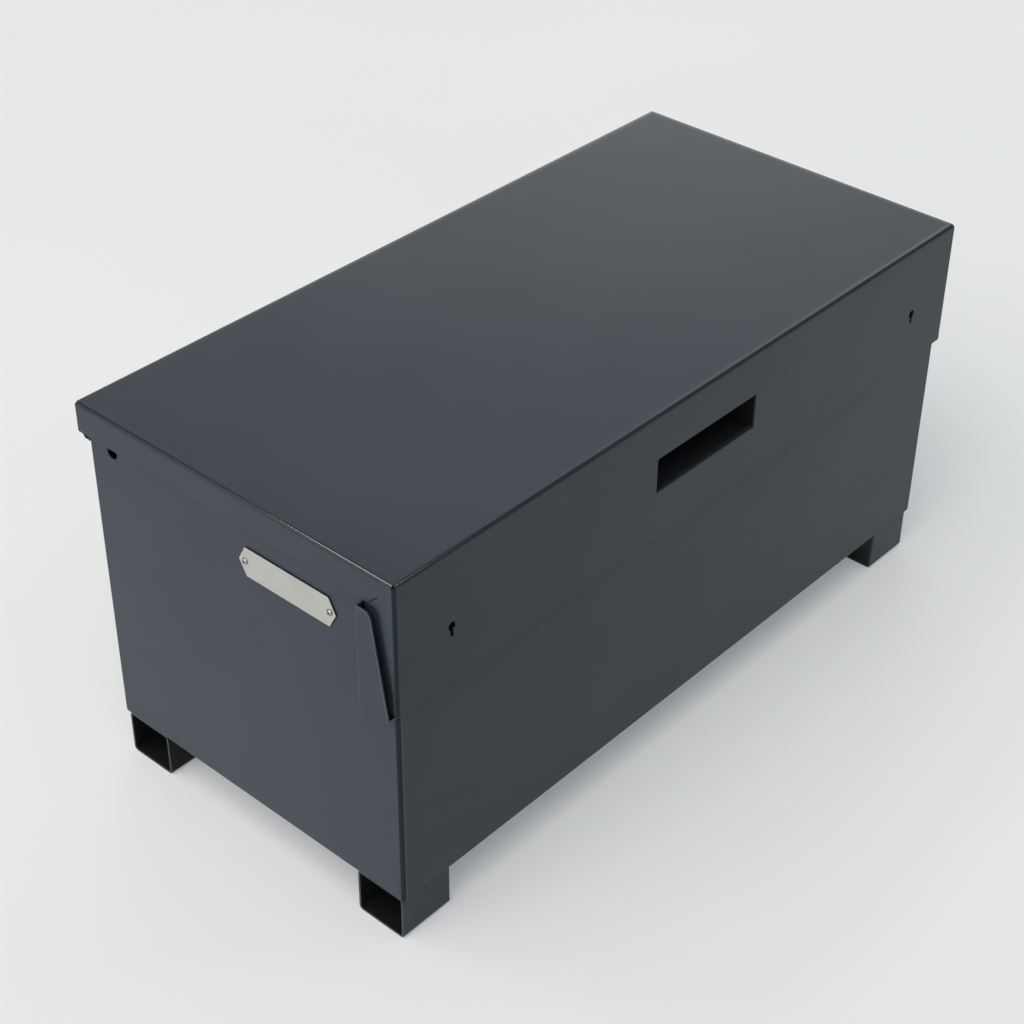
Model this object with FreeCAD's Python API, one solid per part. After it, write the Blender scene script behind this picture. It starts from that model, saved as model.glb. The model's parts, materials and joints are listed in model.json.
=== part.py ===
import FreeCAD, Part
import math
import os

# Steel jobsite box: a folded body on four box-section feet, under an overhanging hinged lid.
# Millimetres. +Z is up and -Y is the front. The origin lies on the ground, under the lid's middle.
# "left" is the -X end and "right" the +X end, as someone standing in front of the box sees them.

Vector = FreeCAD.Vector

# Lid: outside sizes, sheet and folds
lid_length = 1220.0
lid_depth = 595.0
overall_height = 612.0
lid_sheet = 2.5
lid_bend = 5.0
apron_drop = 203.0
skirt_drop = 46.0
lid_corner_relief = 4.5

# How far the lid stands out past the body, and how far the wall tops lie below its underside
end_reveal = 6.0
front_reveal = 6.0
rear_reveal = 16.0

# Body: sheet and folds
body_sheet = 2.5
body_bend = 6.0
wall_flange = 22.0
body_corner_relief = 5.5
rail_below_top = 162.0
rail_depth = 30.0
rail_lip = 15.0

# Feet: short lengths of rectangular tube under the corners
foot_height = 74.0
foot_depth = 85.0
foot_length = 90.0
foot_wall = 4.0
foot_corner = 7.0
foot_inset_end = 3.5
foot_inset_side = 6.0

# Side wings of the apron
wing_foot = 6.5
wing_knee_rise = 36.0
wing_shoulder = 27.0
wing_shoulder_round = 9.0
mitre_slit_length = 25.0
mitre_slit_width = 1.2

# Pull slot and the cup behind it
slot_length = 220.0
slot_height = 54.5
slot_below_top = 71.0
slot_corner = 2.0
slot_lip_depth = 8.0
slot_lip_bend = 2.5
pocket_sheet = 2.0
pocket_depth = 48.0
pocket_rise = 12.0
pocket_floor_flat = 1.0
pocket_flange = 12.0
pocket_bend = 4.0
pocket_side_clearance = 0.5

# Pry guards on the body's ends
guard_sheet = 3.0
guard_standoff = 16.4
guard_bend = 4.0
guard_below_apron = 7.6
guard_rear_setback = 59.0
guard_foot_setback = 6.4
guard_head_setback = 32.9
guard_skirt_gap = 4.0
guard_head_round = 14.0
guard_rear_round = 2.0

# Vent holes high in the ends
vent_radius = 9.9
vent_from_rear = 48.6
vent_below_top = 56.5

# Blank nameplate on the left end
plate_thickness = 2.5
plate_length = 176.5
plate_height = 46.0
plate_point = 12.5
plate_corner = 1.5
plate_setback = 194.5
plate_below_top = 102.0
plate_rivet_spacing = 154.0
rivet_shank_radius = 1.9
rivet_head_radius = 5.0
rivet_head_height = 2.4
rivet_tail_radius = 3.2
rivet_tail_height = 1.2
rivet_hole_clearance = 0.05

# Continuous hinge behind the lid
hinge_end_setback = 1.0
hinge_leaf = 3.0
hinge_leaf_drop = 34.0
hinge_leaf_rise = 42.0
hinge_knuckles = 25
hinge_knuckle_gap = 0.4
hinge_side_clearance = 0.3
hinge_skirt_gap = 0.8
hinge_pin_clearance = 0.05
hinge_notch_clearance = 0.6

# Rubber buffers that the lid lands on
buffer_radius = 6.5
buffer_height = 9.2
buffer_lid_gap = 0.3
buffer_setback = 60.0
buffer_dome = 2.0

# Stiffening ribs under the lid
rib_sheet = 2.0
rib_height = 20.0
rib_crown = 30.0
rib_foot = 16.0
rib_bend = 3.0
rib_spacing = 400.0
rib_front_gap = 10.0
rib_rear_gap = 46.0

# Deadlocks behind the apron
key_from_end = 98.5
key_below_top = 116.0
key_round_radius = 6.5
key_slit_width = 6.6
key_slit_drop = 16.0
lock_backset = 44.5
lock_case_length = 75.0
lock_case_sheet = 2.0
lock_case_depth = 20.5
lock_case_below_key = 30.0
lock_case_above_key = 42.0
lock_cap_sheet = 1.5
lock_screw_radius = 2.0
lock_screw_inset = 5.0
lock_screw_head_radius = 3.8
lock_screw_head_height = 2.4
lock_hole_clearance = 0.1
lock_boss_radius = 4.0

# Lock bolt
bolt_head_thickness = 8.0
bolt_head_height = 26.0
bolt_head_length = 24.0
bolt_above_key = 16.0
bolt_from_case_back = 2.0
bolt_tail_length = 38.0
bolt_tail_height = 18.0
bolt_tail_thickness = 3.0
bolt_throw = 16.0
bolt_talon_width = 10.0
bolt_talon_height = 4.0
bolt_stump_radius = 2.5
bolt_stump_from_tail = 6.0
bolt_slide_clearance = 0.4

# Lever pack behind the bolt's tail
lever_count = 5
lever_thickness = 0.7
lever_gap = 0.15
lever_back_gap = 0.4
lever_pivot_radius = 2.5
lever_pivot_clearance = 0.08
lever_pivot_from_rear = 8.0
lever_pivot_above_key = 27.0
lever_eye_radius = 5.0
lever_reach = 37.0
lever_height = 23.0
lever_window_margin = 4.0
lever_window_gap = 2.0
lever_nose = 2.5

# Lock posts in the body's front corners, and the plates that the bolts enter
strike_gap = 4.0
post_depth = 45.0
post_bend = 4.0
strike_thickness = 4.0
strike_width = 28.0
strike_height = 56.0
strike_clearance = 1.2

# Gas struts
strut_flange_gap = 5.0
strut_tube_radius = 9.0
strut_tube_bore = 7.6
strut_rod_radius = 4.0
strut_rod_clearance = 0.06
strut_rod_showing = 15.0
strut_piston_radius = 7.3
strut_piston_length = 8.0
strut_piston_depth = 157.0
strut_guide_length = 14.0
strut_tube_end = 5.0
strut_eye_radius = 8.5
strut_eye_thickness = 8.0
strut_eye_reach = 18.0
strut_shank_radius = 5.0
strut_pin_radius = 4.0
strut_pin_clearance = 0.06
strut_pin_head_radius = 7.0
strut_pin_head_height = 2.5
strut_side_gap = 0.5
strut_open_pivot_gap = 0.3
strut_lid_reach = 258.25
strut_lid_drop = 27.5
strut_wall_reach = 62.25
strut_wall_drop = 96.75

# Brackets that carry the struts
bracket_sheet = 3.0
bracket_width = 50.0
bracket_shelf = 28.0
bracket_nose = 12.0
bracket_bend = 4.0
wall_bracket_height = 44.0
wall_bracket_crown = 30.0
wall_bracket_foot = 14.0

# Faces that the pieces share, worked out from the sizes above
lid_end = lid_length / 2
lid_front = -lid_depth / 2
lid_rear = lid_depth / 2
lid_underside = overall_height - lid_sheet
apron_bottom = overall_height - apron_drop
apron_back = lid_front + lid_sheet
skirt_bottom = overall_height - skirt_drop
skirt_back = lid_rear - lid_sheet

body_end = lid_end - end_reveal
body_front = lid_front + front_reveal
body_rear = lid_rear - rear_reveal
body_floor = foot_height
body_inside_end = body_end - body_sheet
wall_top = lid_underside - buffer_height - buffer_lid_gap
rail_top = overall_height - rail_below_top

slot_top = overall_height - slot_below_top
slot_bottom = slot_top - slot_height
slot_end = slot_length / 2

hinge_end = body_end - hinge_end_setback
hinge_offset = (rear_reveal - lid_sheet) / 2
hinge_radius = hinge_offset - hinge_side_clearance
hinge_y = body_rear + hinge_offset
hinge_z = skirt_bottom - hinge_radius - hinge_skirt_gap
hinge_bore = hinge_radius - hinge_leaf
hinge_pin_radius = hinge_bore - hinge_pin_clearance

key_x = lid_end - key_from_end
key_z = overall_height - key_below_top
lock_forend = key_x + lock_backset
lock_rear = lock_forend - lock_case_length
lock_bottom = key_z - lock_case_below_key
lock_top = key_z + lock_case_above_key
lock_front = apron_back + lock_cap_sheet
lock_back = lock_front + lock_case_depth
lock_cavity_back = lock_back - lock_case_sheet

bolt_z = key_z + bolt_above_key
bolt_back = lock_cavity_back - bolt_from_case_back
bolt_front = bolt_back - bolt_head_thickness
bolt_heel = lock_forend - bolt_head_length
bolt_tail_end = bolt_heel - bolt_tail_length
bolt_stump_x = bolt_tail_end + bolt_stump_from_tail
lever_pivot_x = lock_rear + lever_pivot_from_rear
lever_pivot_z = key_z + lever_pivot_above_key

post_web = lock_forend + strike_gap
strut_x = body_end - wall_flange - strut_flange_gap - strut_tube_radius
strut_top = Vector(strut_x, hinge_y - strut_lid_reach, lid_underside - strut_lid_drop)
strut_foot = Vector(strut_x, hinge_y - strut_wall_reach, hinge_z - strut_wall_drop)
strut_line = (strut_top - strut_foot).normalize()
strut_span = (strut_top - strut_foot).Length

plate_y = lid_front + plate_setback
plate_z = overall_height - plate_below_top

AXIS_X = Vector(1, 0, 0)
AXIS_Y = Vector(0, 1, 0)
TINY = 1e-6


def block(x_low, x_high, y_low, y_high, z_low, z_high):
    """A box between two values on each axis."""
    return Part.makeBox(x_high - x_low, y_high - y_low, z_high - z_low, Vector(x_low, y_low, z_low))


def cylinder(start, direction, radius, length):
    return Part.makeCylinder(radius, length, start, direction)


def fuse(shapes):
    """One solid from touching or overlapping ones, without the seams between their faces."""
    whole = shapes[0]
    for shape in shapes[1:]:
        whole = whole.fuse(shape)
    return whole.removeSplitter()


def mirrored(shape):
    """The same piece at the box's other end."""
    return shape.mirror(Vector(0, 0, 0), AXIS_X)


def in_space(plane, point, level):
    """A point of a flat drawing, placed in space: plane names the drawing's two axes."""
    u, v = point
    if plane == "yz":
        return Vector(level, u, v)
    if plane == "xz":
        return Vector(u, level, v)
    return Vector(u, v, level)


def rounded_corner(before, corner, after, radius):
    """The start, middle and end of the arc that rounds one corner of a drawing."""
    back = Vector(before[0] - corner[0], before[1] - corner[1], 0)
    ahead = Vector(after[0] - corner[0], after[1] - corner[1], 0)
    half = back.getAngle(ahead) / 2
    reach = radius / math.tan(half)
    tip = Vector(corner[0], corner[1], 0)
    back.normalize()
    ahead.normalize()
    start = tip + back * reach
    end = tip + ahead * reach
    bisector = (back + ahead).normalize()
    middle = tip + bisector * (radius / math.sin(half) - radius)
    return [(spot.x, spot.y) for spot in (start, middle, end)]


def prism(plane, corners, low, high):
    """A solid pulled from a flat outline: each corner is (point, radius of its rounding)."""
    edges = []
    ends = []
    for index, (point, radius) in enumerate(corners):
        before = corners[index - 1][0]
        after = corners[(index + 1) % len(corners)][0]
        if radius > TINY:
            start, middle, end = rounded_corner(before, point, after, radius)
            arc = [in_space(plane, spot, low) for spot in (start, middle, end)]
            edges.append(Part.Arc(*arc).toShape())
            ends.append((arc[0], arc[2]))
        else:
            spot = in_space(plane, point, low)
            ends.append((spot, spot))
    for index, (_, leave) in enumerate(ends):
        arrive = ends[(index + 1) % len(ends)][0]
        if (arrive - leave).Length > TINY:
            edges.append(Part.LineSegment(leave, arrive).toShape())
    outline = Part.Wire(Part.__sortEdges__(edges))
    pull = in_space(plane, (0, 0), high) - in_space(plane, (0, 0), low)
    return Part.Face(outline).extrude(pull)


def polygon(plane, points, low, high):
    return prism(plane, [(point, 0) for point in points], low, high)


def folded(plane, line, thickness, bend, low, high):
    """Folded sheet: line is its outer face, the metal lies to the line's left."""
    steps = []
    for start, end in zip(line, line[1:]):
        length = math.hypot(end[0] - start[0], end[1] - start[1])
        steps.append(((end[0] - start[0]) / length, (end[1] - start[1]) / length))
    inner_bend = max(bend - thickness, 0)
    near = [(line[0], 0)]
    far = [((line[0][0] - steps[0][1] * thickness, line[0][1] + steps[0][0] * thickness), 0)]
    for point, step, onward in zip(line[1:], steps, steps[1:]):
        turn = step[0] * onward[1] - step[1] * onward[0]
        cosine = step[0] * onward[0] + step[1] * onward[1]
        reach = thickness / (1 + cosine)
        offset = (point[0] - (step[1] + onward[1]) * reach, point[1] + (step[0] + onward[0]) * reach)
        near.append((point, bend if turn > 0 else inner_bend))
        far.append((offset, inner_bend if turn > 0 else bend))
    last = steps[-1]
    near.append((line[-1], 0))
    far.append(((line[-1][0] - last[1] * thickness, line[-1][1] + last[0] * thickness), 0))
    return prism(plane, near + far[::-1], low, high)


def floor_panel():
    """Flat sheet between the walls' bottom bends."""
    end = body_end - body_bend
    return block(-end, end, body_front + body_bend, body_rear - body_bend, body_floor,
                 body_floor + body_sheet)


def front_wall():
    """Low front sheet: bottom bend, and the top folded in and down as a rail."""
    end = body_end - body_bend
    line = [(body_front + rail_depth, rail_top - rail_lip),
            (body_front + rail_depth, rail_top),
            (body_front, rail_top),
            (body_front, body_floor),
            (body_front + body_bend, body_floor)]
    return folded("yz", line, body_sheet, body_bend, -end, end)


def rear_wall():
    """Rear sheet with a bottom bend and a top flange, which stops at the end walls' flanges."""
    end = body_end - body_bend
    line = [(body_rear - body_bend, body_floor),
            (body_rear, body_floor),
            (body_rear, wall_top),
            (body_rear - wall_flange, wall_top)]
    wall = folded("yz", line, body_sheet, body_bend, -end, end)
    flange_end = body_end - wall_flange
    corner = block(flange_end, body_end, body_rear - wall_flange, body_rear - body_bend,
                   wall_top - body_bend, wall_top)
    return wall.cut(corner).cut(mirrored(corner))


def wall_corner(y_flat, y_round):
    """Quarter-round column that turns the end wall into the front or rear wall's plane."""
    line = [(body_end - body_bend, y_flat), (body_end, y_flat), (body_end, y_round)]
    if y_flat > y_round:
        line.reverse()
    return folded("xy", line, body_sheet, body_bend, body_floor + body_corner_relief,
                  wall_top - body_bend)


def plain_end_wall():
    """End sheet with its bottom bend, top flange, two corner columns and vent hole."""
    line = [(body_end - body_bend, body_floor),
            (body_end, body_floor),
            (body_end, wall_top),
            (body_end - wall_flange, wall_top)]
    face = folded("xz", line, body_sheet, body_bend, body_front + body_bend, body_rear - body_bend)
    front_corner = wall_corner(body_front, body_front + body_bend)
    rear_corner = wall_corner(body_rear, body_rear - body_bend)
    vent_start = Vector(body_inside_end - body_sheet, body_rear - vent_from_rear,
                        overall_height - vent_below_top)
    vent = cylinder(vent_start, AXIS_X, vent_radius, 3 * body_sheet)
    return fuse([face, front_corner, rear_corner]).cut(vent)


def end_wall_right():
    return plain_end_wall()


def end_wall_left():
    """The nameplate's end: the plain end wall with two rivet holes."""
    wall = mirrored(plain_end_wall())
    for spot in rivet_spots():
        wall = wall.cut(cylinder(spot - AXIS_X * body_sheet, AXIS_X,
                                 rivet_shank_radius + rivet_hole_clearance, 3 * body_sheet))
    return wall


def foot(x_outer, y_outer):
    """Open length of rectangular tube, measured in from the body's corner."""
    x_out = math.copysign(abs(x_outer) - foot_inset_end, x_outer)
    x_in = math.copysign(abs(x_out) - foot_length, x_outer)
    y_out = y_outer - math.copysign(foot_inset_side, y_outer)
    y_in = y_out - math.copysign(foot_depth, y_outer)
    x_low, x_high = sorted((x_in, x_out))
    y_low, y_high = sorted((y_in, y_out))
    outside = [((y_low, 0), foot_corner), ((y_high, 0), foot_corner),
               ((y_high, foot_height), foot_corner), ((y_low, foot_height), foot_corner)]
    inner_corner = max(foot_corner - foot_wall, 0)
    inside = [((y_low + foot_wall, foot_wall), inner_corner),
              ((y_high - foot_wall, foot_wall), inner_corner),
              ((y_high - foot_wall, foot_height - foot_wall), inner_corner),
              ((y_low + foot_wall, foot_height - foot_wall), inner_corner)]
    return prism("yz", outside, x_low, x_high).cut(prism("yz", inside, x_low, x_high))


def pry_guard_right():
    """Pocket on the end wall, open to the front and top, that covers the wing's rear edge."""
    bottom = apron_bottom - guard_below_apron
    top = skirt_bottom - guard_skirt_gap
    rear = lid_front + guard_rear_setback
    outer = body_end + guard_standoff
    side = [((rear, bottom), 0),
            ((rear, top), guard_rear_round),
            ((lid_front + guard_head_setback, top), guard_head_round),
            ((lid_front + guard_foot_setback, bottom), 0)]
    from_above = [((body_end, lid_front), 0), ((outer, lid_front), 0),
                  ((outer, rear), guard_bend), ((body_end, rear), 0)]
    from_front = [((body_end, bottom), 0), ((outer, bottom), guard_bend),
                  ((outer, top), 0), ((body_end, top), 0)]
    shell = prism("yz", side, body_end, outer)
    shell = shell.common(prism("xy", from_above, bottom, top))
    shell = shell.common(prism("xz", from_front, lid_front, rear))
    inner_bend = max(guard_bend - guard_sheet, 0)
    hollow_above = [((body_end, lid_front), 0), ((outer - guard_sheet, lid_front), 0),
                    ((outer - guard_sheet, rear - guard_sheet), inner_bend),
                    ((body_end, rear - guard_sheet), 0)]
    hollow_front = [((body_end, bottom + guard_sheet), 0),
                    ((outer - guard_sheet, bottom + guard_sheet), inner_bend),
                    ((outer - guard_sheet, top), 0), ((body_end, top), 0)]
    hollow = prism("xy", hollow_above, bottom + guard_sheet, top)
    hollow = hollow.common(prism("xz", hollow_front, lid_front, rear - guard_sheet))
    return shell.cut(hollow)


def bolt_slot(x_low, x_high):
    """Room for the bolt's head, with its clearance all round."""
    half = bolt_head_height / 2 + strike_clearance
    return block(x_low, x_high, bolt_front - strike_clearance, bolt_back + strike_clearance,
                 bolt_z - half, bolt_z + half)


def lock_post_right():
    """Channel that closes the front corner above the rail and takes the bolt through its web."""
    line = [(body_inside_end, body_front + post_depth),
            (post_web, body_front + post_depth),
            (post_web, body_front),
            (body_end - body_bend, body_front)]
    post = folded("xy", line, body_sheet, post_bend, rail_top, wall_top - body_bend)
    return post.cut(bolt_slot(post_web - body_sheet, post_web + 2 * body_sheet))


def strike_plate_right():
    """Hard plate welded behind the post's web, with the same slot."""
    x_low = post_web + body_sheet
    middle = (bolt_front + bolt_back) / 2
    y_low = max(middle - strike_width / 2, body_front + post_bend)
    plate = block(x_low, x_low + strike_thickness, y_low, y_low + strike_width,
                  bolt_z - strike_height / 2, bolt_z + strike_height / 2)
    return plate.cut(bolt_slot(x_low, x_low + strike_thickness))


def hinge_segments():
    """The X span and the owner of each knuckle along the barrel: even ones are the body's."""
    pitch = 2 * hinge_end / hinge_knuckles
    for index in range(hinge_knuckles):
        start = -hinge_end + index * pitch
        yield index % 2 == 0, start + hinge_knuckle_gap / 2, start + pitch - hinge_knuckle_gap / 2


def hinge_leaf_piece(for_body):
    """One leaf: a plate on the flat of its wall, with tabs that roll into its share of knuckles."""
    notch = hinge_radius + hinge_notch_clearance
    if for_body:
        leaf_end = min(hinge_end, body_end - body_bend)
        y_low = body_rear
        z_far = hinge_z - hinge_leaf_drop
        z_notch = hinge_z - notch
    else:
        leaf_end = min(hinge_end, lid_end - lid_bend)
        y_low = skirt_back - hinge_leaf
        z_far = hinge_z + hinge_leaf_rise
        z_notch = hinge_z + notch
    y_high = y_low + hinge_leaf
    z_low, z_high = sorted((z_far, z_notch))
    shapes = [block(-leaf_end, leaf_end, y_low, y_high, z_low, z_high)]
    for body_owns, start, end in hinge_segments():
        if body_owns == for_body:
            tab_low, tab_high = sorted((z_notch, hinge_z))
            shapes.append(block(start, end, y_low, y_high, tab_low, tab_high))
            shapes.append(cylinder(Vector(start, hinge_y, hinge_z), AXIS_X, hinge_radius, end - start))
    bore = cylinder(Vector(-hinge_end, hinge_y, hinge_z), AXIS_X, hinge_bore, 2 * hinge_end)
    return fuse(shapes).cut(bore)


def hinge_body_leaf():
    return hinge_leaf_piece(True)


def hinge_lid_leaf():
    return hinge_leaf_piece(False)


def hinge_pin():
    return cylinder(Vector(-hinge_end, hinge_y, hinge_z), AXIS_X, hinge_pin_radius, 2 * hinge_end)


def lid_buffers():
    """Four domed rubber studs on the end walls' top flanges."""
    x_spot = body_end - (wall_flange + body_bend) / 2
    studs = []
    for x in (-x_spot, x_spot):
        for y in (body_front + buffer_setback, body_rear - buffer_setback):
            stud = cylinder(Vector(x, y, wall_top), Vector(0, 0, 1), buffer_radius, buffer_height)
            rim = [edge for edge in stud.Edges if edge.BoundBox.ZMin > wall_top + buffer_height / 2]
            studs.append(stud.makeFillet(buffer_dome, rim[:1]))
    return Part.makeCompound(studs)


def rivet_spots():
    """Where the two rivets cross the left end wall's outer face."""
    for shift in (-plate_rivet_spacing / 2, plate_rivet_spacing / 2):
        yield Vector(-body_end, plate_y + shift, plate_z)


def nameplate_blank():
    """Blank plate with pointed ends and two rivet holes."""
    tip = plate_length / 2
    shoulder = tip - plate_point
    half = plate_height / 2
    points = [(-tip, 0), (-shoulder, -half), (shoulder, -half),
              (tip, 0), (shoulder, half), (-shoulder, half)]
    corners = [((plate_y + u, plate_z + v), plate_corner) for u, v in points]
    plate = prism("yz", corners, -body_end - plate_thickness, -body_end)
    for spot in rivet_spots():
        plate = plate.cut(cylinder(spot - AXIS_X * plate_thickness, AXIS_X,
                                   rivet_shank_radius + rivet_hole_clearance, plate_thickness))
    return plate


def nameplate_rivets():
    """Domed rivets through the plate and the wall, set inside."""
    rivets = []
    for spot in rivet_spots():
        face = spot - AXIS_X * plate_thickness
        cap_radius = (rivet_head_radius ** 2 + rivet_head_height ** 2) / (2 * rivet_head_height)
        ball = Part.makeSphere(cap_radius, face + AXIS_X * (cap_radius - rivet_head_height), -AXIS_X)
        head = ball.common(cylinder(face, -AXIS_X, cap_radius, rivet_head_height))
        shank = cylinder(face, AXIS_X, rivet_shank_radius, plate_thickness + body_sheet)
        inside = spot + AXIS_X * body_sheet
        tail = cylinder(inside, AXIS_X, rivet_tail_radius, rivet_tail_height)
        rivets.append(fuse([head, shank, tail]))
    return Part.makeCompound(rivets)


def lid_corner(y_flat, y_round, z_low, z_high):
    """Quarter-round column at one of the lid's upright corners."""
    line = [(lid_end - lid_bend, y_flat), (lid_end, y_flat), (lid_end, y_round)]
    if y_flat > y_round:
        line.reverse()
    return folded("xy", line, lid_sheet, lid_bend, z_low, z_high)


def lid_top():
    """Top sheet with its end and rear skirts; the end skirts stop at the mitre to the wings."""
    across = [(lid_end, skirt_bottom), (lid_end, overall_height),
              (-lid_end, overall_height), (-lid_end, skirt_bottom)]
    along = [(lid_rear, skirt_bottom), (lid_rear, overall_height),
             (lid_front, overall_height), (lid_front, overall_height - lid_bend)]
    ends = folded("xz", across, lid_sheet, lid_bend, lid_front + lid_bend, lid_rear - lid_bend)
    sides = folded("yz", along, lid_sheet, lid_bend, -lid_end + lid_bend, lid_end - lid_bend)
    column = lid_corner(lid_rear, lid_rear - lid_bend, skirt_bottom,
                        overall_height - lid_corner_relief)
    tray = fuse([ends, sides, column, mirrored(column)])
    below_mitre = [(lid_front, skirt_bottom), (lid_front + skirt_drop, skirt_bottom),
                   (lid_front + lid_bend, overall_height - lid_bend),
                   (lid_front, overall_height - lid_bend)]
    corner = polygon("yz", below_mitre, lid_end - lid_bend, lid_end)
    return tray.cut(corner).cut(mirrored(corner))


def apron_wing():
    """Side return of the apron: it tapers downwards, and a slit shows at the mitre's foot."""
    line = [((lid_front + lid_bend, apron_bottom), 0),
            ((lid_front + wing_foot, apron_bottom), 0),
            ((lid_front + wing_foot, apron_bottom + wing_knee_rise), 0),
            ((lid_front + wing_shoulder, skirt_bottom), wing_shoulder_round),
            ((lid_front + skirt_drop, skirt_bottom), 0),
            ((lid_front + lid_bend, overall_height - lid_bend), 0)]
    wing = prism("yz", line, lid_end - lid_sheet, lid_end)
    run = mitre_slit_length * math.cos(math.pi / 4)
    step = mitre_slit_width / math.cos(math.pi / 4)
    foot_y = lid_front + skirt_drop
    slit = [(foot_y, skirt_bottom), (foot_y - run, skirt_bottom + run),
            (foot_y - run - step, skirt_bottom + run), (foot_y - step, skirt_bottom)]
    return wing.cut(polygon("yz", slit, lid_end - 2 * lid_sheet, lid_end + lid_sheet))


def key_hole(y_low, y_high):
    """Round hole with a slit hanging from it, as a solid to cut with."""
    hole = cylinder(Vector(key_x, y_low, key_z), AXIS_Y, key_round_radius, y_high - y_low)
    half = key_slit_width / 2
    bottom = key_z - key_slit_drop
    slit = [((key_x - half, bottom), half / 2), ((key_x + half, bottom), half / 2),
            ((key_x + half, key_z), 0), ((key_x - half, key_z), 0)]
    return hole.fuse(prism("xz", slit, y_low, y_high))


def lid_apron():
    """Front sheet: wings, two keyholes, and the pull slot with its lower edge folded in."""
    end = lid_end - lid_bend
    face = block(-end, end, lid_front, apron_back, apron_bottom, overall_height - lid_bend)
    column = lid_corner(lid_front, lid_front + lid_bend, apron_bottom,
                        overall_height - lid_corner_relief)
    wing = apron_wing()
    apron = fuse([face, column, mirrored(column), wing, mirrored(wing)])
    lip_low = slot_bottom - slot_lip_bend
    opening = [((-slot_end, lip_low), 0), ((slot_end, lip_low), 0),
               ((slot_end, slot_top), slot_corner), ((-slot_end, slot_top), slot_corner)]
    apron = apron.cut(prism("xz", opening, lid_front - lid_sheet, apron_back + lid_sheet))
    lip = [(lid_front + slot_lip_depth, slot_bottom), (lid_front, slot_bottom),
           (lid_front, lip_low)]
    apron = fuse([apron, folded("yz", lip, lid_sheet, slot_lip_bend, -slot_end, slot_end)])
    hole = key_hole(lid_front - lid_sheet, apron_back + lid_sheet)
    return apron.cut(hole).cut(mirrored(hole))


def pull_pocket():
    """Folded finger cup: sloping floor, back, roof and two cheeks, on a flange behind the apron."""
    half = slot_end + pocket_side_clearance
    floor_z = slot_bottom - lid_sheet
    roof_z = slot_top + pocket_side_clearance
    back = lid_front + pocket_depth
    slope_start = lid_front + slot_lip_depth + pocket_floor_flat
    line = [(apron_back, roof_z), (back, roof_z), (back, floor_z + pocket_rise),
            (slope_start, floor_z), (apron_back, floor_z)]
    cup = folded("yz", line, pocket_sheet, pocket_bend, -half, half)
    cheek_line = [(apron_back, floor_z - pocket_sheet), (slope_start, floor_z - pocket_sheet),
                  (back + pocket_sheet, floor_z + pocket_rise),
                  (back + pocket_sheet, roof_z + pocket_sheet), (apron_back, roof_z + pocket_sheet)]
    cheek = polygon("yz", cheek_line, half, half + pocket_sheet)
    flange = block(-half - pocket_flange, half + pocket_flange, apron_back, apron_back + pocket_sheet,
                   floor_z - pocket_flange, roof_z + pocket_flange)
    mouth = block(-half, half, apron_back, apron_back + pocket_sheet, floor_z, roof_z)
    return fuse([flange.cut(mouth), cup, cheek, mirrored(cheek)])


def lid_rib_right():
    """Hat-section rib, welded by its feet to the lid's underside."""
    middle = rib_spacing / 2
    half = rib_crown / 2
    bottom = lid_underside - rib_height
    seat = lid_underside - rib_sheet
    line = [(middle - half - rib_foot, seat), (middle - half, seat), (middle - half, bottom),
            (middle + half, bottom), (middle + half, seat), (middle + half + rib_foot, seat)]
    return folded("xz", line, rib_sheet, rib_bend, apron_back + rib_front_gap,
                  body_rear - rib_rear_gap)


def lock_screw_spots():
    """The four fixing holes of a lock case, seen from behind."""
    for x in (lock_rear + lock_screw_inset, lock_forend - lock_screw_inset):
        for z in (lock_bottom + lock_screw_inset, lock_top - lock_screw_inset):
            yield x, z


def lock_screw_holes():
    return [cylinder(Vector(x, apron_back, z), AXIS_Y, lock_screw_radius + lock_hole_clearance,
                     lock_back - apron_back) for x, z in lock_screw_spots()]


def lock_case_right():
    """Lock case: a tray open to the apron, with the bolt's way out and the levers' pivot."""
    tray = block(lock_rear, lock_forend, lock_front, lock_back, lock_bottom, lock_top)
    hollow = block(lock_rear + lock_case_sheet, lock_forend - lock_case_sheet, lock_front,
                   lock_cavity_back, lock_bottom + lock_case_sheet, lock_top - lock_case_sheet)
    half = bolt_head_height / 2 + bolt_slide_clearance
    way_out = block(lock_forend - 2 * lock_case_sheet, lock_forend + lock_case_sheet,
                    bolt_front - bolt_slide_clearance, bolt_back + bolt_slide_clearance,
                    bolt_z - half, bolt_z + half)
    pivot = cylinder(Vector(lever_pivot_x, lock_front, lever_pivot_z), AXIS_Y, lever_pivot_radius,
                     lock_case_depth - lock_case_sheet)
    bosses = [cylinder(Vector(x, lock_front, z), AXIS_Y, lock_boss_radius,
                       lock_case_depth - lock_case_sheet) for x, z in lock_screw_spots()]
    case = fuse([tray.cut(hollow).cut(way_out), pivot] + bosses)
    for hole in lock_screw_holes():
        case = case.cut(hole)
    return case


def lock_cap_right():
    """Flat plate between the case and the apron, with the keyhole."""
    cap = block(lock_rear, lock_forend, apron_back, lock_front, lock_bottom, lock_top)
    cap = cap.cut(key_hole(apron_back, lock_front))
    for hole in lock_screw_holes():
        cap = cap.cut(hole)
    return cap


def lock_screws():
    """Eight screws: four through each lock into the apron's weld studs."""
    screws = []
    for x, z in lock_screw_spots():
        shank = cylinder(Vector(x, apron_back, z), AXIS_Y, lock_screw_radius, lock_back - apron_back)
        head = cylinder(Vector(x, lock_back, z), AXIS_Y, lock_screw_head_radius,
                        lock_screw_head_height)
        screw = fuse([shank, head])
        screws.append(screw)
        screws.append(mirrored(screw))
    return Part.makeCompound(screws)


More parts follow.
